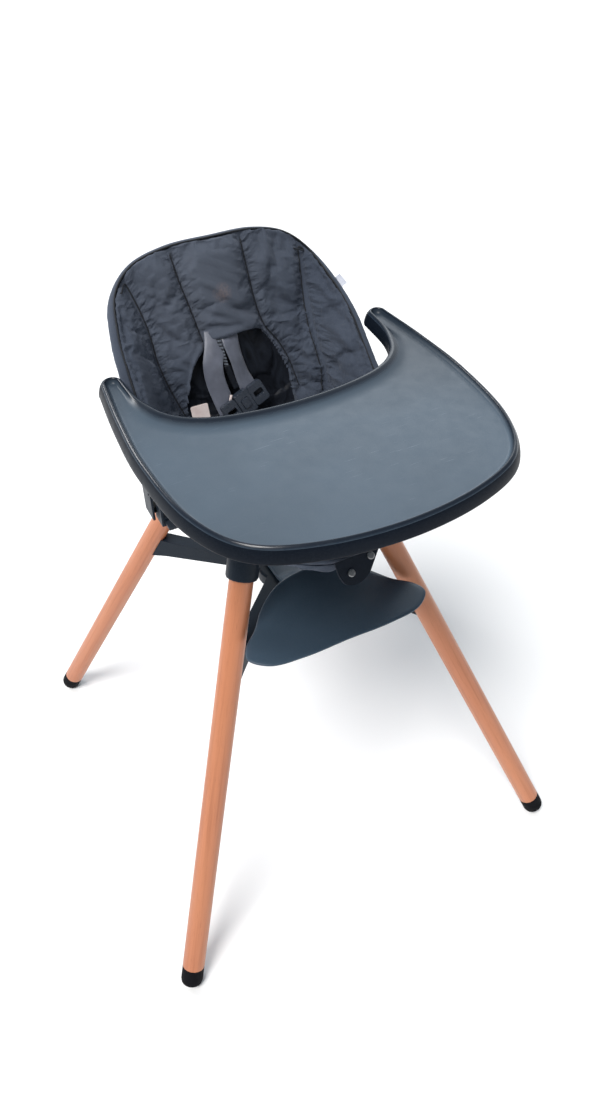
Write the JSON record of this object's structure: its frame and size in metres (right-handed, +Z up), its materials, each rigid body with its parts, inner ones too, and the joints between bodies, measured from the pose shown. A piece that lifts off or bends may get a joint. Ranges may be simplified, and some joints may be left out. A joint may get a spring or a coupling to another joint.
{
  "type": "baby high chair",
  "caption": "Baby high chair: bucket seat with quilted cover and harness, wrap-round tray on side rails, scooped footrest and splayed wooden legs.",
  "frame": {"origin": "on the floor, midway between the four feet", "axes": "+Z up, -Y the way the sitter faces, +X to the chair's right as seen from the front of the tray; the nodes named left are on the -X side"},
  "size_m": [0.661, 0.661, 0.893],
  "materials": {
    "beech": "clear satin lacquer",
    "foot_rubber": "matte",
    "moulded_plastic": "fine matte texture, slate black",
    "tray_plastic": "satin slate black with light scratches",
    "cover_fabric": "charcoal cotton, quilted",
    "webbing": "smooth black webbing",
    "buckle_plastic": "black",
    "steel_hardware": "zinc plated",
    "label_fabric": "pale satin, blank"
  },
  "bodies": {
    "chair": {"leg_front_left": "beech", "foot_front_left": "foot_rubber", "collar_front_left": "moulded_plastic", "leg_stud_front_left": "steel_hardware", "brace_screw_front_left": "steel_hardware", "leg_front_right": "beech", "foot_front_right": "foot_rubber", "collar_front_right": "moulded_plastic", "leg_stud_front_right": "steel_hardware", "brace_screw_front_right": "steel_hardware", "leg_rear_left": "beech", "foot_rear_left": "foot_rubber", "collar_rear_left": "moulded_plastic", "leg_stud_rear_left": "steel_hardware", "brace_screw_rear_left": "steel_hardware", "leg_rear_right": "beech", "foot_rear_right": "foot_rubber", "collar_rear_right": "moulded_plastic", "leg_stud_rear_right": "steel_hardware", "brace_screw_rear_right": "steel_hardware", "seat_base": "moulded_plastic", "cross_brace": "moulded_plastic", "footrest": "moulded_plastic", "seat_shell": "moulded_plastic", "tray_rail_left": "moulded_plastic", "tray_rail_right": "moulded_plastic", "footrest_screw_left": "steel_hardware", "seat_screw_front_left": "steel_hardware", "seat_screw_rear_left": "steel_hardware", "shoulder_strap_left": "webbing", "footrest_screw_right": "steel_hardware", "seat_screw_front_right": "steel_hardware", "seat_screw_rear_right": "steel_hardware", "shoulder_strap_right": "webbing", "buckle_body": "buckle_plastic", "crotch_strap": "webbing", "seat_cover": "cover_fabric", "front_tab": "cover_fabric", "front_snap": "steel_hardware", "front_snap_upper": "steel_hardware", "care_label": "label_fabric", "cover_tag": "label_fabric"},
    "tray": {"tray_body": "tray_plastic", "tray_bracket_left": "moulded_plastic", "tray_bracket_right": "moulded_plastic", "latch_spring_left": "steel_hardware", "latch_spring_right": "steel_hardware", "latch_pin_left": "steel_hardware", "latch_pin_right": "steel_hardware"},
    "latch_left": {"tray_latch_left": "moulded_plastic"},
    "latch_right": {"tray_latch_right": "moulded_plastic"},
    "release_button": {"buckle_button": "buckle_plastic"},
    "tongue_left": {"buckle_tongue_left": "buckle_plastic"},
    "tongue_right": {"buckle_tongue_right": "buckle_plastic"}
  },
  "joints": [
    {"name": "tray_slide", "type": "slide", "parent": "chair", "child": "tray", "axis": [0, -1, 0], "range_m": [0, 0.06]},
    {"name": "latch_left_press", "type": "hinge", "parent": "tray", "child": "latch_left", "pos_m": [-0.195, -0.05, 0.722], "axis": [0, 1, 0], "range_deg": [0, 4.5], "stiffness_Nm_per_rad": 0.2, "deforming": ["latch_spring_left"]},
    {"name": "latch_right_press", "type": "hinge", "parent": "tray", "child": "latch_right", "pos_m": [0.195, -0.05, 0.722], "axis": [0, -1, 0], "range_deg": [0, 4.5], "stiffness_Nm_per_rad": 0.2, "deforming": ["latch_spring_right"]},
    {"name": "release_button_press", "type": "slide", "parent": "chair", "child": "release_button", "axis": [0, 0.946, -0.324], "range_m": [0, 0.0025], "stiffness_N_per_m": 800},
    {"name": "tongue_left_pull", "type": "slide", "parent": "chair", "child": "tongue_left", "axis": [-0.9211, -0.1262, -0.3684], "range_m": [0, 0.012]},
    {"name": "tongue_right_pull", "type": "slide", "parent": "chair", "child": "tongue_right", "axis": [0.9211, 0.1262, 0.3684], "range_m": [0, 0.012]}
  ]
}
